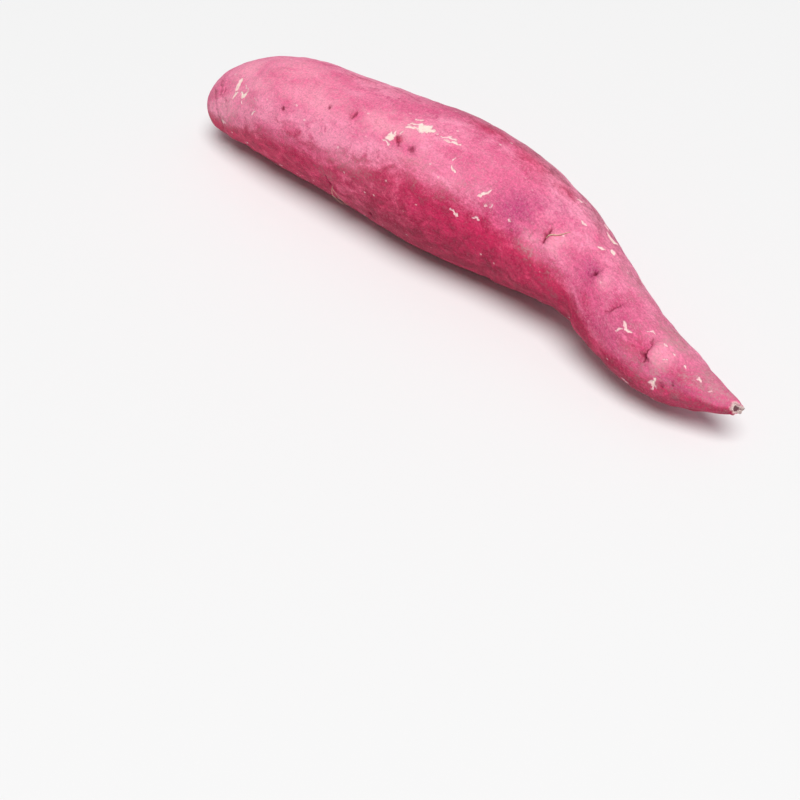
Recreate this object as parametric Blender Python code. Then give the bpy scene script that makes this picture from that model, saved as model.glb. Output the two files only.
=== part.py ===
"""Sweet potato: one long storage root, blunt at the crown end and drawn out to a thin tip.

It lies on its belly along X, crown at -X and tip at +X, and bows sideways to +Y. Metres, +Z up.
"""

import math

import bmesh
import bpy
import numpy as np

# Driving sizes, in metres.
LENGTH = 0.2105  # crown to tip, along X
THICKNESS = 0.042  # across the root where it is fullest
BOW = 0.0148  # how far the middle swings sideways from the crown
REST_CUT = 0.0012  # how much of the belly is pressed flat where the root rests
TIP_SCAR = 0.0038  # across the scar where the thin root broke off
HOLLOW_DEPTH = 0.0011  # deepest eye on the narrow half
SWELL = 0.0009  # rise of the flesh beside an eye
SCAR_RISE = 0.0003  # how far the middle of the scar stands out beyond its rim
THICK_ENOUGH = 0.002  # radius from which the root is thick enough to bear eyes
TWO_LOBES = 0.014  # how far out of round the root is as an oval, as a share of its radius
THREE_LOBES = 0.010  # and as a soft triangle
OVAL_START, OVAL_TURN = 0.6, 5.0  # where the oval points at the crown and how far it drifts, in radians
TRIANGLE_START, TRIANGLE_TURN = 2.0, -7.0
BEND_SPAN = 0.03  # share of LENGTH, either way, over which the root's bend is read
EVEN_PACE = 0.7  # how evenly the rings are spaced: 1 keeps pace with the outline's own length
RINGS = 60  # rings of points from crown to tip
SIDES = 36  # points round each ring

# Each station: share of LENGTH, of BOW, then height and radius as shares of half THICKNESS.
STATIONS = (
    (0.00, 0.25, 0.58, 0.00),
    (0.02, 0.45, 0.61, 0.44),
    (0.05, 0.62, 0.68, 0.60),
    (0.10, 0.82, 0.79, 0.75),
    (0.16, 0.86, 0.88, 0.85),
    (0.25, 0.88, 0.93, 0.88),
    (0.33, 0.92, 0.95, 0.94),
    (0.40, 0.94, 0.96, 0.96),
    (0.48, 0.98, 0.97, 1.00),
    (0.55, 1.00, 0.96, 0.94),
    (0.62, 0.96, 0.92, 0.83),
    (0.68, 0.85, 0.89, 0.71),
    (0.75, 0.62, 0.81, 0.54),
    (0.81, 0.30, 0.70, 0.51),
    (0.87, 0.08, 0.59, 0.45),
    (0.92, 0.00, 0.54, 0.36),
    (0.97, 0.00, 0.53, 0.20),
    (1.00, 0.00, 0.56, 0.09),
)

# Each eye: share of LENGTH, degrees round from +Y over the top, reach along and round in metres,
# and share of HOLLOW_DEPTH (negative) or of SWELL (positive).
EYES = (
    (0.67, 130.0, 0.006, 0.006, -0.5),
    (0.70, 130.0, 0.007, 0.006, 0.7),
    (0.76, 206.0, 0.006, 0.007, -0.7),
    (0.79, 206.0, 0.007, 0.007, 0.7),
    (0.80, 123.0, 0.005, 0.006, -0.4),
    (0.83, 123.0, 0.007, 0.006, 0.7),
    (0.87, 127.0, 0.004, 0.006, -0.5),
    (0.90, 127.0, 0.006, 0.006, 0.9),
    (0.28, 25.0, 0.007, 0.008, -0.5),
    (0.52, 350.0, 0.007, 0.008, -0.6),
    (0.41, 305.0, 0.007, 0.008, -0.5),
    (0.64, 20.0, 0.006, 0.006, -0.5),
    (0.18, 240.0, 0.012, 0.010, 0.6),
)


def curve_through(knots, values, at):
    """Smooth curve through values at rising knots, read at the places in `at`."""
    slopes = np.gradient(values, knots)
    i = np.clip(np.searchsorted(knots, at) - 1, 0, len(knots) - 2)
    step = knots[i + 1] - knots[i]
    t = (at - knots[i]) / step
    rise = values[i + 1] - values[i]
    left = slopes[i] * step
    right = slopes[i + 1] * step
    return values[i] + t * left + t**2 * (3 * rise - 2 * left - right) + t**3 * (left + right - 2 * rise)


def profile(stations):
    """Share of length and radius of each ring, close together where the crown and tip turn in."""
    along = stations[:, 0] * LENGTH
    radius = stations[:, 3] * THICKNESS / 2
    radius[-1] = TIP_SCAR / 2
    along = np.concatenate([[along[1]], along, [2 * along[-1] - along[-2]]])
    radius = np.concatenate([[-radius[1]], radius, [radius[-1]]])
    knots = np.concatenate([[0.0], np.cumsum(np.hypot(np.diff(along), np.diff(radius)) ** EVEN_PACE)])
    at = np.linspace(knots[1], knots[-2], RINGS)
    return curve_through(knots, along, at), np.maximum(curve_through(knots, radius, at), 0.0)


def ring_points():
    stations = np.array(STATIONS)
    along, radius = profile(stations)
    knots = stations[:, 0] * LENGTH
    side = curve_through(knots, stations[:, 1] * BOW, along)
    height = curve_through(knots, stations[:, 2] * THICKNESS / 2, along)
    # Each ring stands square to the root's own bend, read over a span so that rings never cross.
    before = np.clip(along - BEND_SPAN * LENGTH, 0, LENGTH)
    after = np.clip(along + BEND_SPAN * LENGTH, 0, LENGTH)
    sway = stations[:, 1] * BOW
    lean = curve_through(knots, sway, after) - curve_through(knots, sway, before)
    axis = np.stack([after - before, lean, np.zeros(RINGS)], 1)
    axis /= np.linalg.norm(axis, axis=1)[:, None]
    across = np.stack([-axis[:, 1], axis[:, 0], np.zeros(RINGS)], 1)
    turn = np.arange(SIDES) * 2 * math.pi / SIDES
    # Never quite round: slow lobes that drift along the root.
    share = along / LENGTH
    lobes = TWO_LOBES * np.cos(2 * turn[None] + OVAL_TURN * share[:, None] + OVAL_START)
    lobes = lobes + THREE_LOBES * np.cos(3 * turn[None] + TRIANGLE_TURN * share[:, None] + TRIANGLE_START)
    reaches = radius[:, None] * (1 + lobes)
    for eye_share, degrees, long, wide, size in EYES:
        away = turn[None] - math.radians(degrees)
        away = (away + math.pi) % (2 * math.pi) - math.pi
        arc = away * np.maximum(radius[:, None], THICK_ENOUGH)
        near = np.exp(-(((share - eye_share) * LENGTH / long) ** 2)[:, None] - (arc / wide) ** 2)
        near = near * (radius > THICK_ENOUGH)[:, None]
        reaches = reaches + near * size * (SWELL if size > 0 else HOLLOW_DEPTH)
    centre = np.stack([along, side, height], 1)
    out = centre[:, None] + reaches[:, :, None] * np.cos(turn)[None, :, None] * across[:, None]
    out[:, :, 2] += reaches * np.sin(turn)[None]
    return out, centre


def clear_scene():
    for thing in list(bpy.data.objects):
        bpy.data.objects.remove(thing)


def skin():
    material = bpy.data.materials.new("sweet_potato_skin")
    material.use_nodes = True
    shader = material.node_tree.nodes["Principled BSDF"]
    shader.inputs["Base Color"].default_value = (0.56, 0.13, 0.24, 1.0)
    shader.inputs["Roughness"].default_value = 0.62
    return material


def build():
    rings, centre = ring_points()
    bm = bmesh.new()
    crown = bm.verts.new(centre[0])
    tip = bm.verts.new(centre[-1] + np.array([SCAR_RISE, 0.0, 0.0]))
    loops = [[bm.verts.new(p) for p in ring] for ring in rings[1:]]
    for k in range(SIDES):
        after = (k + 1) % SIDES
        bm.faces.new((crown, loops[0][after], loops[0][k]))
        bm.faces.new((tip, loops[-1][k], loops[-1][after]))
        for here, further in zip(loops[:-1], loops[1:]):
            bm.faces.new((here[k], here[after], further[after], further[k]))
    # The belly is pressed flat where the root rests.
    lowest = min(v.co.z for v in bm.verts)
    bmesh.ops.translate(bm, verts=bm.verts, vec=(0.0, 0.0, -lowest - REST_CUT))
    cut = bmesh.ops.bisect_plane(
        bm,
        geom=bm.verts[:] + bm.edges[:] + bm.faces[:],
        dist=1e-5,
        plane_co=(0.0, 0.0, 0.0),
        plane_no=(0.0, 0.0, -1.0),
        clear_outer=True,
    )
    rim = [e for e in cut["geom_cut"] if isinstance(e, bmesh.types.BMEdge)]
    bmesh.ops.contextual_create(bm, geom=rim)
    bmesh.ops.recalc_face_normals(bm, faces=bm.faces)
    # The middle of the outline, seen from above, stands over the origin.
    low = [min(v.co[i] for v in bm.verts) for i in (0, 1)]
    high = [max(v.co[i] for v in bm.verts) for i in (0, 1)]
    middle = (-(low[0] + high[0]) / 2, -(low[1] + high[1]) / 2, 0.0)
    bmesh.ops.translate(bm, verts=bm.verts, vec=middle)
    mesh = bpy.data.meshes.new("sweet_potato")
    bm.to_mesh(mesh)
    bm.free()
    mesh.materials.append(skin())
    mesh.shade_smooth()
    mesh.set_sharp_from_angle(angle=math.radians(40))
    root = bpy.data.objects.new("sweet_potato", mesh)
    bpy.context.scene.collection.objects.link(root)


clear_scene()
build()
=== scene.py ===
"""A whole raw sweet potato lying on its belly: skin with its eyes, creases, knocks and fine roots."""
import math

import bmesh
import bpy
import numpy as np
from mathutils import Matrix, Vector


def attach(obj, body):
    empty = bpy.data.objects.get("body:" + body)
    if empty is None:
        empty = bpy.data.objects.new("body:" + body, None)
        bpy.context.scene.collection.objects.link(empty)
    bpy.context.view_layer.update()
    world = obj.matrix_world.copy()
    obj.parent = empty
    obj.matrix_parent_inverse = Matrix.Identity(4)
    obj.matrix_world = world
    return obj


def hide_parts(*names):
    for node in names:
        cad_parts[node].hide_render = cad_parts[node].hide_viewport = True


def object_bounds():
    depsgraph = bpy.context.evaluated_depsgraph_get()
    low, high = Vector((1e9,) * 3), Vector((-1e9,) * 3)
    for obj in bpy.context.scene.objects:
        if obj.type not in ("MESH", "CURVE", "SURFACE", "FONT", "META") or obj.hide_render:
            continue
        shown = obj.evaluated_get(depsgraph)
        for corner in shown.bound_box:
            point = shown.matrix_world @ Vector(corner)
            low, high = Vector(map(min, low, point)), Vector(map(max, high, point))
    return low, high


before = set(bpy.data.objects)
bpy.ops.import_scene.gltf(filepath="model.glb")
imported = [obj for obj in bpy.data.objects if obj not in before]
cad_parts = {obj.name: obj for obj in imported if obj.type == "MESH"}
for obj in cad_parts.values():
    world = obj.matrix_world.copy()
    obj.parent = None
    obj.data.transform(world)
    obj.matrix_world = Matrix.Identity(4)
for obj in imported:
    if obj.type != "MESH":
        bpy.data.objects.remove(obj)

cad_low, cad_high = [tuple(corner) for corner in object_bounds()]

# ---------------------------------------------------------------------------
# The body of the root. It is one swollen root, grown round a bent middle line:
# blunt at the crown, thick before the middle, with a waist, a heel and a thin
# tip. The skin follows every lobe, eye and crease of the flesh under it.
# ---------------------------------------------------------------------------

LENGTH = 210.5  # millimetres, as all sizes of the root in this section
THICKNESS = 42.0
BOW = 14.8
PRESSED_FLAT = 1.2
TWO_LOBES = 0.014  # how far out of round it is as an oval, as a share of its radius
THREE_LOBES = 0.010  # and as a soft triangle
BEND_SPAN = 0.05  # share of LENGTH, either way, over which its bend is read
EVEN_PACE = 0.7  # how evenly the outline's curve is paced: 1 keeps pace with its own length
OUTLINE_STEPS = 6000
FAR_SIDE_KNOCKS = 54
RINGS = 320
SIDES = 204

# Share of LENGTH, of BOW, then height and radius as shares of half THICKNESS.
STATIONS = np.array((
    (0.00, 0.25, 0.58, 0.00),
    (0.02, 0.45, 0.61, 0.44),
    (0.05, 0.62, 0.68, 0.60),
    (0.10, 0.82, 0.79, 0.75),
    (0.16, 0.86, 0.88, 0.85),
    (0.25, 0.88, 0.93, 0.88),
    (0.33, 0.92, 0.95, 0.94),
    (0.40, 0.94, 0.96, 0.96),
    (0.48, 0.98, 0.97, 1.00),
    (0.55, 1.00, 0.96, 0.94),
    (0.62, 0.96, 0.92, 0.83),
    (0.68, 0.85, 0.89, 0.71),
    (0.75, 0.62, 0.81, 0.54),
    (0.81, 0.30, 0.70, 0.51),
    (0.87, 0.08, 0.59, 0.45),
    (0.92, 0.00, 0.54, 0.36),
    (0.97, 0.00, 0.53, 0.20),
    (1.00, 0.00, 0.56, 0.09),
))


def curve_through(knots, values, at):
    """Smooth curve through values at rising knots, read at the places in `at`."""
    slopes = np.gradient(values, knots)
    i = np.clip(np.searchsorted(knots, at) - 1, 0, len(knots) - 2)
    step = knots[i + 1] - knots[i]
    t = (at - knots[i]) / step
    rise = values[i + 1] - values[i]
    left = slopes[i] * step
    right = slopes[i + 1] * step
    return values[i] + t * left + t**2 * (3 * rise - 2 * left - right) + t**3 * (left + right - 2 * rise)


def long_profile():
    """How far along and how far out the skin runs, from the crown's middle to the tip's."""
    along = STATIONS[:, 0] * LENGTH
    out = STATIONS[:, 3] * THICKNESS / 2
    # Past the last station the skin turns over the rim of the tip's scar and into its hollow.
    along = np.concatenate([[along[1]], along, LENGTH + np.array([0.5, 0.5, 0.2, 0.1, 0.2])])
    out = np.concatenate([[-out[1]], out, [1.5, 1.1, 0.65, 0.0, -0.65]])
    knots = np.concatenate([[0.0], np.cumsum(np.hypot(np.diff(along), np.diff(out)) ** EVEN_PACE)])
    fine = np.linspace(knots[1], knots[-2], OUTLINE_STEPS)
    a = curve_through(knots, along, fine)
    r = np.maximum(curve_through(knots, out, fine), 0.0)
    run = np.concatenate([[0.0], np.cumsum(np.hypot(np.diff(a), np.diff(r)))])
    return run / run[-1], a, r


profile_share, profile_along, profile_out = long_profile()
scar_rim = profile_share[np.argmax(profile_along)]

# Eyes, where side roots and shoots start: along, degrees round from +Y over the top, reach
# round, depth of the hollow on the crown side, rise of the shoulder on the tip side, the
# shoulder's reach along, depth of the crease between them, and its slant.
EYES = (
    (9.5, 200.0, 4.0, 0.80, 0.20, 4.0, 0.30, 0.00),
    (33.0, 290.0, 5.5, 0.40, 0.35, 6.0, 0.30, 0.00),
    (60.0, 25.0, 6.0, 0.45, 0.45, 7.0, 0.35, 0.10),
    (66.8, 198.0, 4.5, 0.50, 0.45, 5.0, 0.25, 0.35),
    (83.5, 207.0, 3.4, 0.40, 0.30, 5.0, 0.30, -0.20),
    (88.0, 305.0, 6.0, 0.40, 0.35, 7.0, 0.30, 0.20),
    (112.0, 350.0, 6.5, 0.50, 0.55, 7.0, 0.40, -0.10),
    (128.0, 235.0, 6.0, 0.40, 0.40, 7.0, 0.30, 0.15),
    (138.0, 20.0, 5.0, 0.45, 0.50, 6.0, 0.35, 0.10),
    (145.4, 128.0, 4.0, 0.85, 0.85, 5.5, 0.15, 0.05),
    (146.5, 172.0, 6.0, 0.35, 0.25, 6.0, 0.20, 0.10),
    (156.5, 62.0, 3.5, 0.30, 0.30, 4.0, 0.25, 0.30),
    (162.5, 113.0, 4.0, 0.75, 0.60, 4.5, 0.00, 0.00),
    (162.5, 206.0, 5.5, 0.60, 0.70, 5.5, 0.35, 0.10),
    (163.0, 325.0, 4.5, 0.40, 0.45, 5.0, 0.35, -0.15),
    (173.0, 121.0, 4.8, 0.85, 0.95, 5.0, 0.20, -0.15),
    (182.0, 285.0, 4.0, 0.35, 0.40, 4.5, 0.30, 0.10),
    (186.4, 126.0, 4.8, 0.90, 1.20, 4.6, 0.20, 0.05),
    (195.0, 157.0, 3.0, 0.35, 0.20, 3.0, 0.00, 0.00),
)

# Places where a knock took the thin skin off and the cream flesh under it has dried: each
# stroke runs from one along and degrees to another, with its width. They lie in small groups.
CROWN_KNOCKS = (
    (17.6, 123, 16.9, 138, 1.6),
    (17.9, 141, 16.4, 149, 1.3),
    (21.1, 133, 24.2, 136, 0.5),
    (24.2, 136, 23.9, 140, 0.5),
    (21.1, 143, 23.6, 146, 1.6),
    (23.6, 146, 24.2, 141, 0.9),
    (22.2, 152, 22.9, 154, 1.1),
    (29.6, 145, 31.8, 146, 0.4),
    (32.5, 157, 31.4, 162, 0.9),
    (10.3, 177, 10.6, 185, 0.5),
    (9.0, 181, 12.0, 182, 0.5),
)
MIDDLE_KNOCKS = (
    (86.1, 124, 87.2, 127, 2.5),
    (85.0, 130, 87.8, 132, 0.6),
    (87.2, 120, 87.8, 122, 0.8),
    (89.4, 122, 89.8, 117, 0.6),
    (92.2, 107, 96.0, 110, 1.9),
    (94.5, 106, 97.2, 107, 1.5),
    (88.8, 110, 92.4, 107, 0.8),
    (89.2, 113, 93.0, 111, 0.9),
    (89.7, 103, 92.3, 102, 0.6),
    (101.3, 108, 105.6, 105, 0.8),
    (102.8, 111, 105.0, 109, 0.6),
    (104.9, 108, 107.4, 107, 0.9),
    (109.8, 125, 111.6, 128, 0.9),
    (108.9, 120, 109.1, 122, 0.6),
    (121.8, 136, 122.7, 131, 0.9),
    (122.9, 131, 124.3, 125, 0.8),
    (124.7, 139, 125.5, 139, 0.5),
    (126.2, 138, 126.7, 134, 0.5),
    (115.8, 156, 118.3, 158, 0.8),
    (123.1, 154, 125.2, 152, 0.5),
    (133.4, 138, 134.6, 137, 0.4),
)
TAIL_KNOCKS = (
    (141.2, 67, 142.7, 56, 0.5),
    (148.0, 84, 149.5, 83, 0.7),
    (149.3, 50, 151.0, 51, 0.9),
    (152.6, 57, 155.6, 49, 1.2),
    (156.4, 84, 157.8, 80, 0.9),
    (154.5, 37, 155.7, 39, 0.6),
    (158.3, 70, 159.7, 68, 0.9),
    (166.8, 39, 167.7, 32, 0.6),
    (177.6, 140, 178.4, 131, 0.7),
    (177.6, 124, 179.1, 126, 0.7),
    (178.9, 128, 180.7, 124, 0.9),
    (182.7, 103, 184.5, 98, 0.5),
    (191.3, 160, 191.7, 181, 1.0),
    (192.1, 100, 192.5, 101, 0.7),
    (195.7, 107, 196.1, 108, 0.7),
    (199.8, 113, 200.3, 115, 0.8),
    (188.6, 104, 189.4, 102, 0.5),
    (190.2, 124, 190.9, 121, 0.4),
    (203.8, 128, 204.4, 124, 0.4),
)
# Cracks and creases, darker than the skin round them: from, to, width and depth.
CREASES = (
    (9.3, 128, 9.9, 138, 0.8, 0.20),
    (6.4, 110, 8.4, 140, 1.1, 0.18),
    (4.4, 124, 7.0, 158, 1.2, 0.20),
    (9.0, 142, 13.6, 160, 1.0, 0.14),
    (7.0, 164, 9.6, 186, 1.1, 0.16),
    (13.4, 150, 14.2, 172, 0.9, 0.12),
    (38.0, 126, 40.4, 120, 0.32, 0.10),
    (70.9, 126, 70.7, 119, 0.8, 0.28),
    (71.6, 125, 71.3, 121, 0.5, 0.15),
    (88.4, 123, 91.0, 130, 0.95, 0.28),
    (96.8, 131, 98.9, 126, 0.35, 0.10),
    (65.3, 188, 67.2, 203, 1.40, 0.50),
    (67.0, 203, 73.0, 212, 0.45, 0.15),
    (94.7, 160, 95.6, 180, 0.25, 0.08),
    (120.3, 134, 125.0, 116, 0.28, 0.10),
    (135.3, 130, 137.4, 133, 0.45, 0.15),
    (139.0, 139, 140.6, 133, 0.35, 0.12),
    (141.2, 144, 141.7, 132, 0.35, 0.15),
    (143.0, 149, 143.3, 138, 0.30, 0.12),
    (144.0, 110, 145.0, 122, 0.32, 0.14),
    (145.1, 121, 145.9, 135, 1.25, 0.45),
    (159.5, 64, 160.4, 52, 0.5, 0.18),
    (171.9, 133, 173.6, 113, 1.00, 0.25),
    (179.8, 112, 181.0, 94, 0.28, 0.08),
    (181.0, 118, 182.5, 100, 0.28, 0.08),
    (184.6, 112, 186.0, 130, 0.30, 0.12),
    (185.3, 106, 186.6, 130, 0.70, 0.25),
    (186.4, 130, 187.5, 148, 1.00, 0.40),
    (187.9, 140, 187.6, 152, 0.30, 0.12),
)
# Pits, each the seat of a hair root that has rubbed off: along, degrees, width and depth.
PITS = (
    (44.2, 143, 1.0, 0.40),
    (60.7, 124, 0.9, 0.30),
    (77.5, 86, 0.7, 0.15),
    (83.3, 208, 1.3, 0.45),
    (95.6, 128, 1.7, 0.25),
    (162.5, 113, 1.3, 0.55),
    (186.9, 139, 1.1, 0.55),
    (193.4, 166, 0.7, 0.25),
    (195.2, 151, 0.7, 0.25),
    (25.0, 250, 1.0, 0.30),
    (52.0, 318, 1.1, 0.35),
    (74.0, 12, 1.0, 0.30),
    (101.0, 330, 1.2, 0.35),
    (118.0, 28, 0.9, 0.30),
    (139.0, 300, 1.0, 0.30),
    (152.0, 245, 0.9, 0.30),
    (176.0, 350, 1.0, 0.35),
)


def far_side_knocks():
    """Small knocks scattered over the side and the belly, clear of the belly's seam."""
    rng = np.random.default_rng(12)
    found = []
    for _ in range(FAR_SIDE_KNOCKS):
        at = rng.uniform(12, 202)
        degrees = rng.choice([rng.uniform(208, 262), rng.uniform(278, 405)])
        long = rng.uniform(0.4, 2.6)
        turned = rng.normal(0, 6) * min(long, 1.5)
        found.append((at, degrees, at + long, degrees + turned, rng.uniform(0.4, 0.9)))
    return tuple(found)


KNOCKS = CROWN_KNOCKS + MIDDLE_KNOCKS + TAIL_KNOCKS + far_side_knocks()


def off_stroke(along, angle, stroke):
    """Distance over the skin from a stroke's middle line, in millimetres, as if it thins to its ends."""
    at, degrees, to, to_degrees = stroke[:4]
    around = float(np.interp((at + to) / 2, profile_along, profile_out))
    x = along - at
    y = (angle - math.radians(degrees) + math.pi) % (2 * math.pi) - math.pi
    y = y * around
    long = to - at
    wide = math.radians(to_degrees - degrees) * around
    t = np.clip((x * long + y * wide) / (long**2 + wide**2 + 1e-9), 0, 1)
    return np.hypot(x - t * long, y - t * wide) / (1 - 0.4 * (2 * t - 1) ** 2)


def off_pit(along, angle, pit):
    return off_stroke(along, angle, (pit[0], pit[1], pit[0] + 0.01, pit[1])) * 0.6


def wandering(along, angle, out):
    """Shifts each place a little, so that nothing drawn on the skin has a straight edge."""
    straight = np.stack([along, out * np.cos(angle), out * np.sin(angle)], 1)
    aside = 0.22 * waves(straight, 2.6, 16, 21) + 0.10 * waves(straight, 1.1, 16, 22)
    around = 0.22 * waves(straight, 2.6, 16, 23) + 0.10 * waves(straight, 1.1, 16, 24)
    return along + aside, angle + around / np.maximum(out, 3.0)


def knocked(along, angle):
    """1 where a knock took the skin off, 0.5 on its edge, 0 clear of it."""
    share = np.zeros_like(along)
    for knock in KNOCKS:
        share = np.maximum(share, 0.5 + (0.6 * knock[4] - off_stroke(along, angle, knock)) / 0.9)
    return np.clip(share, 0, 1)


def sunken(along, angle):
    """How deep in a crease or a pit each place lies, with a soft halo round each: 1 at the bottom, 0 out on
    the skin. The colour takes painted shade and dark skin from it.
    """
    share = np.zeros_like(along)
    for crease in CREASES:
        gone = off_stroke(along, angle, crease) / (0.62 * crease[4])
        dark = min(1.0, 0.12 + 1.7 * crease[5])
        share = np.maximum(share, dark * (0.75 * np.exp(-(gone**2)) + 0.25 * np.exp(-((gone / 3.2) ** 2))))
    for pit in PITS:
        gone = off_pit(along, angle, pit) / (0.7 * pit[2])
        dark = min(1.0, 0.45 + pit[3])
        share = np.maximum(share, dark * (0.75 * np.exp(-(gone**2)) + 0.25 * np.exp(-((gone / 2.8) ** 2))))
    return share


def mark_relief(along, angle):
    """Creases and pits go in, the edge of each knock stands up a little and its bed lies low."""
    relief = np.zeros_like(along)
    for crease in CREASES:
        gone = off_stroke(along, angle, crease) / (0.6 * crease[4])
        relief -= crease[5] * np.exp(-(gone**2))
        relief += 0.3 * crease[5] * np.exp(-(((gone - 2.4) / 1.1) ** 2))
    for pit in PITS:
        gone = off_pit(along, angle, pit) / (0.55 * pit[2])
        relief -= pit[3] * np.exp(-(gone**2))
        relief += 0.25 * pit[3] * np.exp(-(((gone - 2.2) / 1.0) ** 2))
    lost = knocked(along, angle)
    bed = np.clip((lost - 0.5) / 0.35, 0, 1)
    relief -= 0.16 * bed * bed * (3 - 2 * bed)
    return relief + 0.09 * np.exp(-(((lost - 0.42) / 0.16) ** 2))


def eye_relief(along, angle, out):
    relief = np.zeros_like(along)
    for at, degrees, wide, hollow, shoulder, reach, crease, slant in EYES:
        away = (angle - math.radians(degrees) + math.pi) % (2 * math.pi) - math.pi
        y = away * np.maximum(out, 2.0)
        x = along - at - slant * y
        relief -= hollow * np.exp(-(((x + 2.2) / 3.2) ** 2) - (y / wide) ** 2)
        rise = np.clip((x + 0.6) / 1.8, 0, 1)
        rise = rise * rise * (3 - 2 * rise)
        relief += shoulder * rise * np.exp(-((np.maximum(x, 0) / reach) ** 2) - (y / wide) ** 2)
        relief -= crease * np.exp(-((x / 0.8) ** 2) - (y / (0.62 * wide)) ** 4)
    return relief


def waves(points, length, count, seed):
    """Smooth lumps about `length` across, the same on every run."""
    rng = np.random.default_rng(seed)
    turn = rng.normal(size=(count, 3))
    turn /= np.linalg.norm(turn, axis=1)[:, None]
    turn *= (2 * np.pi / (length * rng.uniform(0.7, 1.5, count)))[:, None]
    return np.cos(points @ turn.T + rng.uniform(0, 2 * np.pi, count)).sum(1) * np.sqrt(2 / count)


def skin_relief(along, angle, out):
    """How far the skin stands in or out at each place, in millimetres."""
    straight = np.stack([along, out * np.cos(angle), out * np.sin(angle)], 1)
    ends = np.clip(out / 9.0, 0.0, 1.0)
    relief = 0.16 * waves(straight / [1.4, 1, 1], 24.0, 14, 3) * ends
    relief += 0.075 * waves(straight, 8.0, 22, 4) * ends
    relief += 0.028 * waves(straight / [1.2, 1, 1], 3.2, 40, 5) * np.clip(out / 5, 0, 1)
    # Fine lengthwise furrows draw together towards the tip and, less, over the crown.
    furrow = np.clip((along - 178) / 26, 0, 1) + 0.5 * np.clip((18 - along) / 14, 0, 1)
    relief += 0.13 * furrow * waves(straight / [9, 1, 1], 2.2, 30, 6) * np.clip(out / 5, 0.15, 1)
    # Shallow crosswise folds on the tail, where the root has shrunk a little along its length.
    fold = np.exp(-(((along - 172) / 26) ** 2))
    relief += 0.11 * fold * waves(straight / [1, 4, 4], 5.5, 22, 7)
    # The scar at the tip has crumbled unevenly.
    relief += 0.22 * np.clip((along - LENGTH + 0.4) / 0.6, 0, 1) * waves(straight, 1.3, 24, 8)
    return relief


def body_place(share, angle):
    """Skin point for each share of the profile and angle, with its along, radius and relief."""
    along = np.interp(share, profile_share, profile_along)
    out = np.interp(share, profile_share, profile_out)
    knots = STATIONS[:, 0] * LENGTH
    at = np.clip(along, 0, LENGTH)
    sway = STATIONS[:, 1] * BOW
    rise = STATIONS[:, 2] * THICKNESS / 2
    before = np.clip(at - BEND_SPAN * LENGTH, 0, LENGTH)
    after = np.clip(at + BEND_SPAN * LENGTH, 0, LENGTH)
    lean = np.arctan2(curve_through(knots, sway, after) - curve_through(knots, sway, before), after - before)
    lobes = TWO_LOBES * np.cos(2 * angle + 5.0 * at / LENGTH + 0.6)
    lobes += THREE_LOBES * np.cos(3 * angle - 7.0 * at / LENGTH + 2.0)
    reach = out * (1 + lobes)
    reach = reach + eye_relief(along, angle, out) * np.clip(out / 4, 0, 1)
    reach = reach + skin_relief(along, angle, out)
    reach = reach + mark_relief(*wandering(along, angle, out)) * np.clip(out / 4, 0, 1)
    reach = np.where(out > 0, np.maximum(reach, 0), 0)
    # The tip snapped off on a slant, so its scar faces up and to the side.
    slanted = np.clip((along - LENGTH + 3.0) / 3.0, 0, 1) ** 2
    x = along - np.sin(lean) * reach * np.cos(angle) - 0.75 * slanted * reach * np.cos(angle - 2.5)
    y = curve_through(knots, sway, at) + np.cos(lean) * reach * np.cos(angle)
    z = curve_through(knots, rise, at) + reach * np.sin(angle)
    return np.stack([x, y, z], 1), along, out


# Soft stains and blooms on the skin: along, degrees, reach along and reach round in
# millimetres, and strength. Dry soil and scurf leave a greyish bloom.
DUSTY = (
    (14, 165, 9, 6, 0.9),
    (26, 152, 9, 5, 0.5),
    (5, 150, 5, 8, 0.6),
    (42, 172, 12, 3, 0.4),
    (76, 163, 13, 4, 0.6),
    (66, 186, 7, 4, 0.5),
    (103, 142, 13, 7, 0.4),
    (118, 124, 10, 5, 0.4),
    (142, 141, 4, 4, 0.7),
    (144, 153, 5, 3, 0.9),
    (153, 168, 5, 5, 0.4),
    (172, 70, 12, 5, 0.5),
    (189, 76, 7, 6, 0.9),
    (181, 108, 6, 5, 0.5),
    (194, 158, 5, 3, 0.7),
    (190, 175, 6, 3, 0.6),
    (200, 120, 6, 5, 0.7),
    (190, 150, 4, 4, 0.8),
    (183, 152, 5, 3, 0.5),
    (204, 90, 8, 6, 0.9),
    (205, 200, 7, 5, 0.6),
    (36, 300, 16, 8, 0.6),
    (70, 335, 18, 7, 0.5),
    (108, 10, 16, 8, 0.5),
    (124, 290, 18, 8, 0.6),
    (158, 340, 12, 6, 0.6),
    (182, 230, 10, 5, 0.5),
)
# Bare, clean skin shows a deep crimson. The spots in the creases of the larger eyes, at 145.5, 172.6 and 186
# along, are painted shade.
CRIMSON = (
    (50, 160, 9, 2.5, 0.55),
    (57, 165, 7, 2.5, 0.6),
    (34, 178, 10, 4, 0.6),
    (71, 123, 2, 2, 0.5),
    (89.5, 126, 2, 1.3, 0.7),
    (95.6, 128, 1.8, 1.2, 0.4),
    (90, 182, 11, 7, 1.0),
    (112, 182, 13, 7, 1.0),
    (127, 168, 7, 5, 0.5),
    (109, 72, 8, 4, 0.7),
    (125, 74, 9, 5, 0.7),
    (137, 70, 6, 4, 0.6),
    (62, 78, 14, 3, 0.4),
    (145.5, 127, 1.5, 3, 0.5),
    (151, 178, 8, 5, 0.7),
    (166, 150, 4, 3, 0.5),
    (172.6, 122, 1.2, 4, 0.35),
    (183, 140, 4, 4, 0.5),
    (186, 138, 1.5, 3, 0.5),
    (197, 135, 6, 2.5, 0.4),
    (40, 350, 20, 9, 0.5),
    (84, 300, 22, 9, 0.6),
    (128, 340, 20, 8, 0.5),
    (160, 280, 16, 8, 0.6),
)
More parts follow.
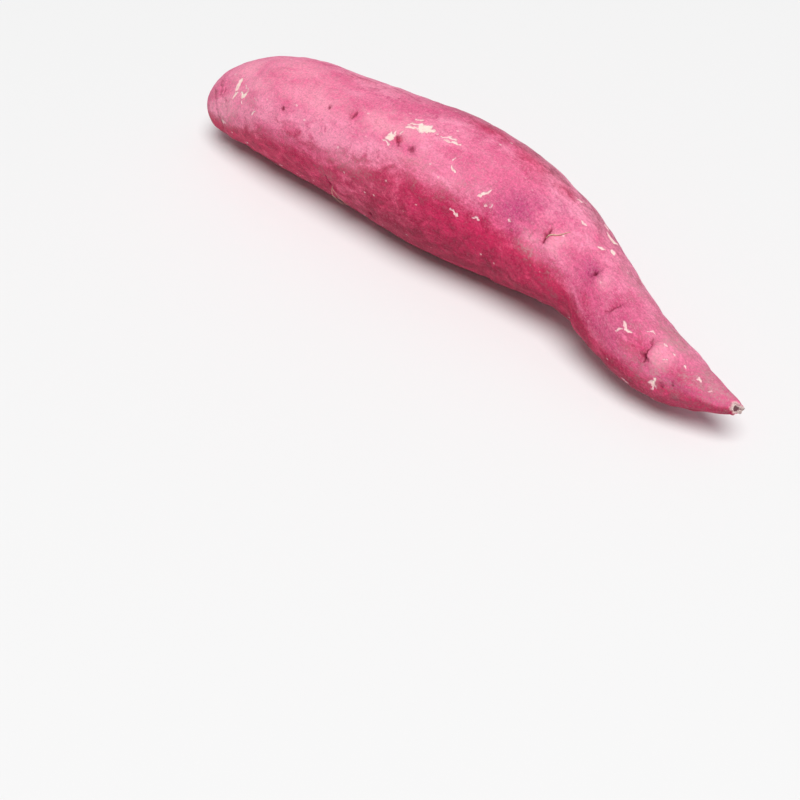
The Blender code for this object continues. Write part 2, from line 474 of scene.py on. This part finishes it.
# Where it has been rubbed or bruised it turns purple.
PURPLE = (
    (48, 118, 10, 5, 0.4),
    (82, 131, 2, 1.5, 0.5),
    (100, 152, 10, 4, 0.4),
    (133, 124, 7, 6, 0.8),
    (137, 104, 6, 4, 0.6),
    (141, 92, 8, 4, 0.5),
    (136, 146, 5, 5, 0.6),
    (161, 114, 4, 3, 0.9),
    (159, 124, 3, 3, 0.6),
    (179, 122, 5, 4, 0.4),
    (196, 152, 4, 2.5, 0.6),
    (20, 320, 14, 9, 0.5),
    (96, 20, 18, 8, 0.5),
    (146, 300, 18, 8, 0.6),
)
# Thin skin, stretched as the root swelled, is paler. The spots on the shoulders of the larger eyes, at 149,
# 166 and 190 along, are painted light.
PALE = (
    (19, 110, 9, 6, 0.8),
    (30, 128, 10, 6, 0.7),
    (42, 102, 22, 8, 0.7),
    (52, 120, 18, 6, 0.9),
    (84, 118, 16, 6, 0.8),
    (96, 135, 12, 4, 0.6),
    (110, 138, 10, 4, 0.5),
    (122, 100, 8, 4, 0.4),
    (149, 125, 4, 4.5, 0.8),
    (155, 98, 8, 4, 0.4),
    (166, 112, 3, 3.5, 0.6),
    (190, 118, 4, 4.5, 0.9),
)
# Thick old skin on the tail and the waist is a deeper rose.
ROSY = (
    (160, 118, 12, 9, 0.5),
    (176, 120, 12, 11, 0.8),
    (186, 140, 12, 9, 0.7),
    (201, 128, 10, 8, 0.8),
    (199, 150, 8, 7, 0.9),
    (134, 132, 9, 6, 0.7),
    (166, 142, 12, 7, 0.8),
    (176, 148, 10, 5, 0.8),
    (190, 145, 10, 6, 0.8),
    (120, 148, 14, 4, 0.6),
    (150, 150, 12, 4, 0.6),
    (98, 68, 26, 5, 0.5),
    (180, 60, 22, 7, 0.5),
    (5, 120, 5, 9, 0.4),
    (60, 20, 26, 9, 0.5),
    (130, 5, 26, 8, 0.5),
)
# Along the back, thin cork has cracked into fine lengthwise lines, dull and brownish.
WEATHERED = (
    (76, 62, 14, 3, 0.4),
    (98, 60, 22, 5, 0.7),
    (124, 58, 18, 5, 0.9),
    (146, 52, 16, 5, 0.9),
    (166, 60, 12, 4, 0.6),
    (188, 74, 10, 5, 0.8),
    (202, 88, 8, 5, 0.7),
    (14, 175, 9, 5, 0.5),
    (196, 186, 10, 3, 0.6),
    (52, 330, 18, 7, 0.5),
    (112, 318, 20, 7, 0.6),
    (170, 300, 14, 6, 0.6),
)


def stained(along, angle, out, places):
    """How strongly a stain covers each place, fading out from the middle of each of its spots."""
    share = np.zeros_like(along)
    for at, degrees, long, wide, strength in places:
        y = (angle - math.radians(degrees) + math.pi) % (2 * math.pi) - math.pi
        gone = ((along - at) / long) ** 2 + (y * np.maximum(out, 2.0) / wide) ** 2
        share = np.maximum(share, strength * np.exp(-0.8 * gone))
    return share


def add_points_near_marks(bm, spread):
    """Splits each face that lies within `spread` millimetres of a knock, crease or pit."""
    faces = list(bm.faces)
    middle = np.array([face.calc_center_median()[:2] for face in faces])
    along = np.interp(middle[:, 0], profile_share, profile_along)
    angle = (middle[:, 1] * 360 - 90) * math.pi / 180
    near = np.zeros(len(faces), bool)
    for mark in KNOCKS + CREASES:
        near |= off_stroke(along, angle, mark) < mark[4] / 2 + spread
    for pit in PITS:
        near |= off_pit(along, angle, pit) < pit[2] / 2 + spread
    edges = {edge for face, close in zip(faces, near) if close for edge in face.edges}
    edges = sorted(edges, key=lambda edge: edge.index)
    bmesh.ops.subdivide_edges(bm, edges=edges, cuts=1, use_grid_fill=True)


def store(mesh, name, values):
    """Keeps one number for each point of the skin, for its material."""
    kept = mesh.attributes.new(name, "FLOAT", "POINT")
    kept.data.foreach_set("value", np.asarray(values, np.float32))


def build_body():
    # The skin is first laid out flat: X the share of the way along, Y the share of the way
    # round from the belly. It is rolled up once its finest marks have enough points.
    bm = bmesh.new()
    grid = [[bm.verts.new((i / RINGS, j / SIDES, 0)) for j in range(SIDES + 1)] for i in range(RINGS + 1)]
    for i in range(RINGS):
        for j in range(SIDES):
            bm.faces.new((grid[i][j], grid[i + 1][j], grid[i + 1][j + 1], grid[i][j + 1]))
    bm.edges.index_update()
    add_points_near_marks(bm, 0.7)
    bm.edges.index_update()
    add_points_near_marks(bm, 0.15)
    mesh = bpy.data.meshes.new("sweet_potato_root")
    bm.to_mesh(mesh)
    bm.free()
    flat = np.empty(len(mesh.vertices) * 3)
    mesh.vertices.foreach_get("co", flat)
    flat = flat.reshape(-1, 3)
    share = flat[:, 0]
    angle = (flat[:, 1] * 360 - 90) * math.pi / 180
    points, along, out = body_place(share, angle)
    marked = wandering(along, angle, out)
    # The skin's own coordinates, as if the root had grown straight, hold its material in place.
    straight = np.stack([along, out * np.cos(angle), out * np.sin(angle)], 1)
    grown = mesh.attributes.new("grown", "FLOAT_VECTOR", "POINT")
    grown.data.foreach_set("vector", (straight / 1000).astype(np.float32).ravel())
    store(mesh, "knocked", knocked(*marked))
    store(mesh, "sunken", sunken(*marked))
    store(mesh, "dusty", stained(along, angle, out, DUSTY))
    # The lower flank is crimson skin along the whole root: partly the clean skin's own colour, partly painted
    # shade of its underside.
    degrees = np.degrees((angle + math.pi / 2) % (2 * math.pi) - math.pi / 2)
    start = 134 + 6 * np.sin(along / 21 + 0.6) + 3 * np.sin(along / 8.5)
    start += 22 * np.clip((95 - along) / 50, 0, 1) + 14 * np.clip((along - 158) / 14, 0, 1)
    start -= 7 * np.exp(-(((along - 128) / 20) ** 2))
    flank = np.clip((degrees - start - 3) / 27, 0, 1) * np.clip((285 - degrees) / 40, 0, 1)
    flank *= 1 - 0.22 * np.clip((along - 158) / 20, 0, 1) - 0.24 * np.exp(-(((along - 78) / 30) ** 2))
    store(mesh, "crimson", np.maximum(stained(along, angle, out, CRIMSON), flank))
    # Painted shade: low down, the flank is painted darker still, as the shade under the root.
    low_down = start + 34 - 26 * np.clip((along - 166) / 24, 0, 1)
    store(mesh, "painted_shade_below", np.clip((degrees - low_down) / 40, 0, 1) * np.clip((262 - degrees) / 30, 0, 1))
    store(mesh, "purple", stained(along, angle, out, PURPLE))
    store(mesh, "pale", stained(along, angle, out, PALE))
    store(mesh, "rosy", stained(along, angle, out, ROSY))
    store(mesh, "weathered", stained(along, angle, out, WEATHERED))
    store(mesh, "scar", np.maximum(share > scar_rim, np.clip((along - LENGTH - 0.15) / 0.25, 0, 1)))
    store(mesh, "scar_heart", np.clip((1.15 - out) / 0.45, 0, 1) * (share > scar_rim))
    uv = mesh.uv_layers.new(name="OFBake")
    corner = np.empty(len(mesh.loops), np.int32)
    mesh.loops.foreach_get("vertex_index", corner)
    around = np.stack([0.005 + 0.99 * share, 0.005 + 0.99 * flat[:, 1]], 1)
    uv.uv.foreach_set("vector", around[corner].astype(np.float32).ravel())
    # Rolled up, set on its belly, with its crown where the CAD root's crown ends.
    low, high = points.min(0), points.max(0)
    sideways = 500 * (cad_low[1] + cad_high[1]) - (low[1] + high[1]) / 2
    shift = np.array([1000 * cad_low[0] - low[0], sideways, -low[2] - PRESSED_FLAT])
    points += shift
    points[:, 2] = np.maximum(points[:, 2], 0)
    mesh.vertices.foreach_set("co", (points / 1000).astype(np.float32).ravel())
    bm = bmesh.new()
    bm.from_mesh(mesh)
    seam = [v for v in bm.verts if v.is_boundary]
    bmesh.ops.remove_doubles(bm, verts=seam, dist=1e-6)
    bmesh.ops.recalc_face_normals(bm, faces=bm.faces)
    bm.to_mesh(mesh)
    bm.free()
    mesh.shade_smooth()
    root = bpy.data.objects.new("sweet_potato_root", mesh)
    bpy.context.scene.collection.objects.link(root)
    return root, shift


def colour(code):
    """An sRGB hex colour as linear RGBA."""
    parts = [int(code[i:i + 2], 16) / 255 for i in (1, 3, 5)]
    return [*[c / 12.92 if c <= 0.04045 else ((c + 0.055) / 1.055) ** 2.4 for c in parts], 1.0]


def node(tree, kind, settings=(), inputs=()):
    """Adds a shader node, sets its own properties, and feeds each input a value or an output."""
    made = tree.nodes.new("ShaderNode" + kind)
    for name, value in dict(settings).items():
        setattr(made, name, value)
    for name, value in dict(inputs).items():
        if isinstance(value, bpy.types.NodeSocket):
            tree.links.new(value, made.inputs[name])
        else:
            made.inputs[name].default_value = value
    return made


def sweet_potato_skin():
    """Thin living periderm over pale flesh: matt, finely fibrous, pink where scurf and dust
    scatter the light, crimson where it is bare, and cream where a knock has opened it.
    Painted shade darkens the lower flank, the creases and the pits; painted light brightens
    the shoulders of the larger eyes."""
    material = bpy.data.materials.new("sweet_potato_skin")
    material.use_nodes = True
    tree = material.node_tree
    shader = tree.nodes["Principled BSDF"]
    times = {"operation": "MULTIPLY"}
    times_plus = {"operation": "MULTIPLY_ADD"}
    soft = {"interpolation_type": "SMOOTHSTEP"}
    rgba = {"data_type": "RGBA"}
    grown = node(tree, "Attribute", {"attribute_name": "grown"}).outputs["Vector"]
    bruised = node(tree, "Attribute", {"attribute_name": "knocked"}).outputs["Fac"]
    sunk = node(tree, "Attribute", {"attribute_name": "sunken"}).outputs["Fac"]
    crimson_and_shade = node(tree, "Attribute", {"attribute_name": "crimson"}).outputs["Fac"]

    def grain(millimetres, stretch, roughness, warp):
        """Noise with lumps of about that size, drawn out by `stretch`. It swings about 0.5."""
        size = [1000 / (millimetres * part) for part in stretch]
        start = [9 * millimetres] * 3
        laid = node(tree, "Mapping", inputs={"Vector": grown, "Location": start, "Scale": size}).outputs[0]
        noise = {"Vector": laid, "Scale": 1.0, "Detail": 4.0, "Roughness": roughness, "Distortion": warp}
        return node(tree, "TexNoise", inputs=noise).outputs["Fac"]

    def net(millimetres, stretch, thin):
        """Thin lines that cross: 1 on a line, 0 off it."""
        across = grain(millimetres, stretch, 0.55, 1.1)
        across = node(tree, "Math", {"operation": "SUBTRACT"}, {0: across, 1: 0.5}).outputs[0]
        across = node(tree, "Math", {"operation": "ABSOLUTE"}, {0: across}).outputs[0]
        return node(tree, "MapRange", soft, {0: across, 1: thin, 2: 0.0}).outputs[0]

    # Patches 10 to 30 mm across, drawn out along the root, mottled down to 2 mm.
    broad = grain(15, (2.2, 1, 1), 0.62, 0.4)
    mottle = grain(3.2, (1.6, 1, 1), 0.60, 0.6)
    fine = grain(1.1, (1.4, 1, 1), 0.70, 0.4)
    speckle = grain(0.50, (1.3, 1, 1), 0.80, 0.3)
    # Cork fibres, a net of light strands 0.3 mm wide and 2 to 4 mm long that crosses itself.
    strands = net(0.9, (3.4, 1, 1), 0.035)
    crossings = net(0.8, (1, 2.4, 2.4), 0.030)

    def ragged(name, low, high, most, broken):
        """How thickly a stain lies, up to `most`, with an edge that breaks up into the mottle."""
        share = node(tree, "Attribute", {"attribute_name": name}).outputs["Fac"]
        for pattern, part in ((mottle, 1.25), (fine, 0.50), (speckle, 0.35)):
            share = node(tree, "Math", times_plus, {0: pattern, 1: part * broken, 2: share}).outputs[0]
        middle = 1.05 * broken
        return node(tree, "MapRange", soft, {0: share, 1: low + middle, 2: high + middle, 4: most}).outputs[0]

    def stain(below, name, code, low, high, most, broken):
        """Lays a ragged stain of one colour over the skin."""
        share = ragged(name, low, high, most, broken)
        return node(tree, "Mix", rgba, {0: share, 6: below, 7: colour(code)}).outputs[2]

    patchy = node(tree, "MapRange", soft, {0: broad, 1: 0.38, 2: 0.64}).outputs[0]
    skin = node(tree, "Mix", rgba, {0: patchy, 6: colour("#e0668f"), 7: colour("#f592b2")}).outputs[2]
    mottled = node(tree, "MapRange", soft, {0: mottle, 1: 0.50, 2: 0.70, 4: 0.62}).outputs[0]
    skin = node(tree, "Mix", rgba, {0: mottled, 6: skin, 7: colour("#d24c80")}).outputs[2]
    skin = stain(skin, "rosy", "#c94576", 0.05, 1.00, 0.90, 0.7)
    # The pale is thin skin, and painted light on the shoulders of the larger eyes.
    skin = stain(skin, "pale", "#fba0b8", 0.25, 1.00, 0.80, 1.0)
    skin = stain(skin, "purple", "#b0336f", 0.10, 0.95, 0.60, 0.8)
    # The crimson is partly clean skin and partly painted shade, on the lower flank and in the creases of the
    # larger eyes.
    skin = stain(skin, "crimson", "#c2134e", 0.05, 0.95, 0.94, 0.8)
    # Painted shade: the low flank is painted a darker crimson.
    skin = stain(skin, "painted_shade_below", "#970b3a", 0.15, 1.15, 0.70, 0.9)
    # Old cork along the back is dull and brownish, with darker lines that run lengthwise.
    skin = stain(skin, "weathered", "#bd6c80", 0.20, 1.10, 0.70, 0.9)
    lines = node(tree, "MapRange", soft, {0: grain(0.6, (6, 1, 1), 0.6, 0.5), 1: 0.49, 2: 0.60}).outputs[0]
    lines = node(tree, "Math", times, {0: lines, 1: ragged("weathered", 0.20, 0.95, 0.48, 0.7)}).outputs[0]
    skin = node(tree, "Mix", rgba, {0: lines, 6: skin, 7: colour("#8a3350")}).outputs[2]
    # Fine light strands, fewer on the crimson skin and its painted shade.
    scurfy = node(tree, "MapRange", (), {0: crimson_and_shade, 1: 0.2, 2: 0.9, 3: 1.0, 4: 0.40}).outputs[0]
    light = node(tree, "MapRange", soft, {0: fine, 1: 0.40, 2: 0.62, 3: 0.08, 4: 0.38}).outputs[0]
    light = node(tree, "Math", times, {0: light, 1: strands}).outputs[0]
    light = node(tree, "Math", times, {0: light, 1: scurfy}).outputs[0]
    skin = node(tree, "Mix", rgba, {0: light, 6: skin, 7: colour("#f7a9bb")}).outputs[2]
    light = node(tree, "MapRange", soft, {0: mottle, 1: 0.36, 2: 0.60, 3: 0.08, 4: 0.36}).outputs[0]
    light = node(tree, "Math", times, {0: light, 1: crossings}).outputs[0]
    light = node(tree, "Math", times, {0: light, 1: scurfy}).outputs[0]
    skin = node(tree, "Mix", rgba, {0: light, 6: skin, 7: colour("#f7b0c0")}).outputs[2]
    # Grains of darker and lighter cork between the strands, and darker mottle on the crimson skin and its
    # painted shade.
    shade = node(tree, "MapRange", (), {0: speckle, 1: 0.30, 2: 0.70, 3: 1.27, 4: 0.73}).outputs[0]
    shade_fine = node(tree, "MapRange", (), {0: fine, 1: 0.30, 2: 0.70, 3: 1.14, 4: 0.86}).outputs[0]
    shade = node(tree, "Math", times, {0: shade, 1: shade_fine}).outputs[0]
    uneven = node(tree, "MapRange", (), {0: mottle, 1: 0.35, 2: 0.65, 3: 0.18, 4: -0.26}).outputs[0]
    uneven = node(tree, "Math", times_plus, {0: uneven, 1: crimson_and_shade, 2: 1.0}).outputs[0]
    shade = node(tree, "Math", times, {0: shade, 1: uneven}).outputs[0]
    skin = node(tree, "VectorMath", {"operation": "SCALE"}, {0: skin, "Scale": shade}).outputs[0]
    # Pale dust, thick in the hollows of the grain.
    dust = node(tree, "MapRange", soft, {0: fine, 1: 0.36, 2: 0.60, 3: 0.15, 4: 0.70}).outputs[0]
    dust = node(tree, "Math", times, {0: dust, 1: ragged("dusty", 0.20, 1.15, 1.0, 1.2)}).outputs[0]
    gritty = node(tree, "MapRange", soft, {0: speckle, 1: 0.40, 2: 0.56, 3: 0.25, 4: 1.0}).outputs[0]
    dust = node(tree, "Math", times, {0: dust, 1: gritty}).outputs[0]
    skin = node(tree, "Mix", rgba, {0: dust, 6: skin, 7: colour("#d9a2a9")}).outputs[2]
    # Pale flecks up to about 1 mm across, where lenticels and rubbed scurf catch the light.
    laid = node(tree, "Mapping", inputs={"Vector": grown, "Scale": (240, 330, 330)})
    cells = node(tree, "TexVoronoi", inputs={"Vector": laid.outputs[0], "Scale": 1.0})
    picked = node(tree, "SeparateColor", inputs={"Color": cells.outputs["Color"]}).outputs[0]
    picked = node(tree, "MapRange", soft, {0: picked, 1: 0.70, 2: 0.74}).outputs[0]
    fleck = node(tree, "Math", times_plus, {0: speckle, 1: 0.25, 2: cells.outputs["Distance"]}).outputs[0]
    fleck = node(tree, "MapRange", soft, {0: fleck, 1: 0.255, 2: 0.195, 4: 0.65}).outputs[0]
    fleck = node(tree, "Math", times, {0: fleck, 1: picked}).outputs[0]
    skin = node(tree, "Mix", rgba, {0: fleck, 6: skin, 7: colour("#f9cfd2")}).outputs[2]
    # Creases and pits get painted shade, with a soft halo round each, over the dark skin in them.
    deep = node(tree, "Math", times_plus, {0: speckle, 1: 0.40, 2: sunk}).outputs[0]
    deep = node(tree, "MapRange", soft, {0: deep, 1: 0.28, 2: 1.02, 4: 0.85}).outputs[0]
    skin = node(tree, "Mix", rgba, {0: deep, 6: skin, 7: colour("#7a0f36")}).outputs[2]
    # Knocks: a torn pink rim round bare flesh, pink where the knock was light and cream where deep.
    torn = node(tree, "Math", times_plus, {0: fine, 1: 0.85, 2: bruised}).outputs[0]
    torn = node(tree, "Math", times_plus, {0: speckle, 1: 0.90, 2: torn}).outputs[0]
    near = node(tree, "MapRange", soft, {0: bruised, 1: 0.02, 2: 0.20, 4: 0.60}).outputs[0]
    rim = node(tree, "MapRange", soft, {0: torn, 1: 1.175, 2: 1.315}).outputs[0]
    rim = node(tree, "Math", times, {0: rim, 1: near}).outputs[0]
    skin = node(tree, "Mix", rgba, {0: rim, 6: skin, 7: colour("#d98fa2")}).outputs[2]
    inside = node(tree, "MapRange", soft, {0: bruised, 1: 0.08, 2: 0.30}).outputs[0]
    bed = node(tree, "MapRange", soft, {0: torn, 1: 1.37, 2: 1.52, 4: 0.95}).outputs[0]
    bed = node(tree, "Math", times, {0: bed, 1: inside}).outputs[0]
    thick = node(tree, "MapRange", soft, {0: bruised, 1: 0.80, 2: 1.00}).outputs[0]
    flesh = node(tree, "Mix", rgba, {0: thick, 6: colour("#f7cdd2"), 7: colour("#fde9dc")}).outputs[2]
    dried = node(tree, "MapRange", soft, {0: fine, 1: 0.50, 2: 0.70, 4: 0.80}).outputs[0]
    flesh = node(tree, "Mix", rgba, {0: dried, 6: flesh, 7: colour("#ecb9b5")}).outputs[2]
    skin = node(tree, "Mix", rgba, {0: bed, 6: skin, 7: flesh}).outputs[2]
    # The scar at the tip: a ring of pale cork round a dark, fibrous heart.
    scar = node(tree, "Attribute", {"attribute_name": "scar"}).outputs["Fac"]
    heart = node(tree, "Attribute", {"attribute_name": "scar_heart"}).outputs["Fac"]
    crumbly = node(tree, "MapRange", soft, {0: speckle, 1: 0.44, 2: 0.60}).outputs[0]
    cork = node(tree, "Mix", rgba, {0: crumbly, 6: colour("#f0d9d2"), 7: colour("#b98790")}).outputs[2]
    skin = node(tree, "Mix", rgba, {0: scar, 6: skin, 7: cork}).outputs[2]
    fibrous = node(tree, "Math", times_plus, {0: speckle, 1: 1.6, 2: heart}).outputs[0]
    fibrous = node(tree, "MapRange", soft, {0: fibrous, 1: 1.28, 2: 1.72, 4: 0.90}).outputs[0]
    fibrous = node(tree, "Math", times, {0: fibrous, 1: scar}).outputs[0]
    skin = node(tree, "Mix", rgba, {0: fibrous, 6: skin, 7: colour("#5e2a3a")}).outputs[2]
    tree.links.new(skin, shader.inputs["Base Color"])

    # Waxy skin is smoother than the dust on it and the dry flesh in a knock.
    waxy = node(tree, "MapRange", (), {0: mottle, 1: 0.35, 2: 0.65, 3: 0.50, 4: 0.62}).outputs[0]
    rough = node(tree, "Math", times_plus, {0: dust, 1: 0.22, 2: waxy}).outputs[0]
    dry = node(tree, "Math", times, {0: bed, 1: 0.78}).outputs[0]
    rough = node(tree, "Math", {"operation": "MAXIMUM"}, {0: rough, 1: dry}).outputs[0]
    tree.links.new(rough, shader.inputs["Roughness"])
    shader.inputs["IOR"].default_value = 1.40
    shader.inputs["Specular IOR Level"].default_value = 0.22

    # Grain about a tenth of a millimetre deep, with the strands standing proud of it.
    height = node(tree, "Math", times, {0: speckle, 1: 0.60}).outputs[0]
    for pattern, part in ((fine, 0.90), (strands, 0.16), (mottle, 1.20), (lines, -0.50), (bed, -0.35)):
        height = node(tree, "Math", times_plus, {0: pattern, 1: part, 2: height}).outputs[0]
    bump = node(tree, "Bump", inputs={"Height": height, "Strength": 0.55, "Distance": 0.00032})
    tree.links.new(bump.outputs[0], shader.inputs["Normal"])
    return material


root, settled = build_body()
skin_material = sweet_potato_skin()
root.data.materials.append(skin_material)
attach(root, "root")
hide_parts("sweet_potato")

# ---------------------------------------------------------------------------
# Fine roots. A few dry hair roots were left when the soil was washed off. Each
# is a tapering strand, tan and brittle, that starts in an eye and lies close
# over the skin.
# ---------------------------------------------------------------------------

# Thickness where the strand starts, then its points: along, degrees, height over the skin.
STRANDS = (
    (0.42, ((145.3, 129, 0.0), (147.2, 122, 0.3), (148.2, 118, 0.4), (148.9, 111, 0.3), (149.3, 104, 0.1))),
    (0.16, ((66.6, 197, 0.0), (68.6, 203, 1.1), (70.4, 210, 1.2), (72.0, 215, 0.3))),
    (0.14, ((67.2, 196, 0.0), (70.6, 203, 0.8), (73.4, 212, 0.5))),
    (0.22, ((60.3, 27, 0.0), (62.0, 33, 0.9), (65.5, 37, 0.8), (69.0, 36, 0.2))),
    (0.26, ((112.4, 351, 0.0), (114.5, 356, 1.1), (118.5, 358, 1.0), (122.0, 354, 0.3))),
    (0.20, ((163.4, 325, 0.0), (165.0, 331, 0.9), (168.6, 336, 0.4))),
)


def place_on_skin(along, degrees, lift):
    """The point that lies `lift` millimetres over the skin, in metres."""
    share = np.interp([along], profile_along, profile_share)
    skin, _, _ = body_place(share, np.array([math.radians(degrees)]))
    inner, _, _ = body_place(share, np.array([math.radians(degrees + 180)]))
    outward = (skin[0] - inner[0]) / np.linalg.norm(skin[0] - inner[0])
    return (skin[0] + settled + outward * (lift - 0.05)) / 1000


def strand_mesh(bm, thick, stops):
    """Sweeps a tapering round strand through the stops."""
    rounds = 28
    sides = 8
    last = rounds - 1
    stops = np.array(stops, float)
    knots = np.arange(len(stops), dtype=float)
    fine = np.linspace(0, knots[-1], rounds)
    path = [curve_through(knots, stops[:, k], fine) for k in range(3)]
    points = [Vector(place_on_skin(*stop)) for stop in zip(*path)]
    rings = []
    for i, point in enumerate(points):
        run = (points[min(i + 1, last)] - points[max(i - 1, 0)]).normalized()
        side = run.cross(Vector((0, 0, 1))).normalized()
        up = side.cross(run)
        reach = thick / 2000 * (1 - 0.7 * i / last) * (1 + 0.15 * math.sin(2.1 * i))
        turns = [k * 2 * math.pi / sides for k in range(sides)]
        rings.append([bm.verts.new(point + reach * (side * math.cos(t) + up * math.sin(t))) for t in turns])
    for here, after in zip(rings[:-1], rings[1:]):
        for k in range(sides):
            bm.faces.new((here[k], here[(k + 1) % sides], after[(k + 1) % sides], after[k]))
    bm.faces.new(reversed(rings[0]))
    bm.faces.new(rings[-1])


def dried_hair_root():
    """Dead cork fibre: dull tan with a trace of pink, darker where it is thickest."""
    material = bpy.data.materials.new("dried_hair_root")
    material.use_nodes = True
    tree = material.node_tree
    shader = tree.nodes["Principled BSDF"]
    place = node(tree, "TexCoord").outputs["Object"]
    streaks = node(tree, "TexNoise", inputs={"Vector": place, "Scale": 1400.0, "Detail": 2.0}).outputs["Fac"]
    tint = node(tree, "Mix", {"data_type": "RGBA"}, {0: streaks, 6: colour("#b98073"), 7: colour("#ecd0b4")})
    tree.links.new(tint.outputs[2], shader.inputs["Base Color"])
    shader.inputs["Roughness"].default_value = 0.75
    return material


bm = bmesh.new()
for thick, stops in STRANDS:
    strand_mesh(bm, thick, stops)
bmesh.ops.recalc_face_normals(bm, faces=bm.faces)
strands = bpy.data.meshes.new("fine_roots")
bm.to_mesh(strands)
bm.free()
strands.shade_smooth()
strands.materials.append(dried_hair_root())
fine_roots = bpy.data.objects.new("fine_roots", strands)
bpy.context.scene.collection.objects.link(fine_roots)
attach(fine_roots, "root")

# ---------------------------------------------------------------------------
# The studio: a pale floor, one large soft light overhead and a white room.
# ---------------------------------------------------------------------------
bpy.ops.mesh.primitive_plane_add(size=6.0, location=(0, 0, 0))
floor = bpy.context.object
floor.name = "floor"
# Matt off-white paper: it throws a little light back up under the root.
paper = bpy.data.materials.new("pale_floor")
paper.use_nodes = True
paper_shader = paper.node_tree.nodes["Principled BSDF"]
paper_shader.inputs["Base Color"].default_value = colour("#ececec")
paper_shader.inputs["Roughness"].default_value = 0.8
floor.data.materials.append(paper)

# The white walls are seen bright, but throw back only a soft fill.
world = bpy.data.worlds.new("room")
world.use_nodes = True
room = world.node_tree
fill = room.nodes["Background"]
fill.inputs["Color"].default_value = (1, 1, 1, 1)
fill.inputs["Strength"].default_value = 0.24
wall = node(room, "Background", inputs={"Color": (1, 1, 1, 1), "Strength": 0.92})
looked_at = node(room, "LightPath").outputs["Is Camera Ray"]
walls = node(room, "MixShader", inputs={0: looked_at, 1: fill.outputs[0], 2: wall.outputs[0]})
room.links.new(walls.outputs[0], room.nodes["World Output"].inputs["Surface"])
bpy.context.scene.world = world

lamp = bpy.data.lights.new("softbox", "AREA")
lamp.shape = "DISK"
lamp.size = 6.0
lamp.energy = 622.0
softbox = bpy.data.objects.new("softbox", lamp)
softbox.location = (1.73, -1.80, 7.32)
softbox.rotation_euler = (math.radians(19), 0, math.radians(44))
bpy.context.scene.collection.objects.link(softbox)

lens = bpy.data.cameras.new("camera")
lens.lens = 60.0
lens.sensor_width = 36.0
camera = bpy.data.objects.new("camera", lens)
camera.location = (0.2150, -0.2490, 0.2434)
camera.rotation_euler = (math.radians(47), 0, math.radians(44))
bpy.context.scene.collection.objects.link(camera)
bpy.context.scene.camera = camera
bpy.context.scene.view_settings.view_transform = "Standard"
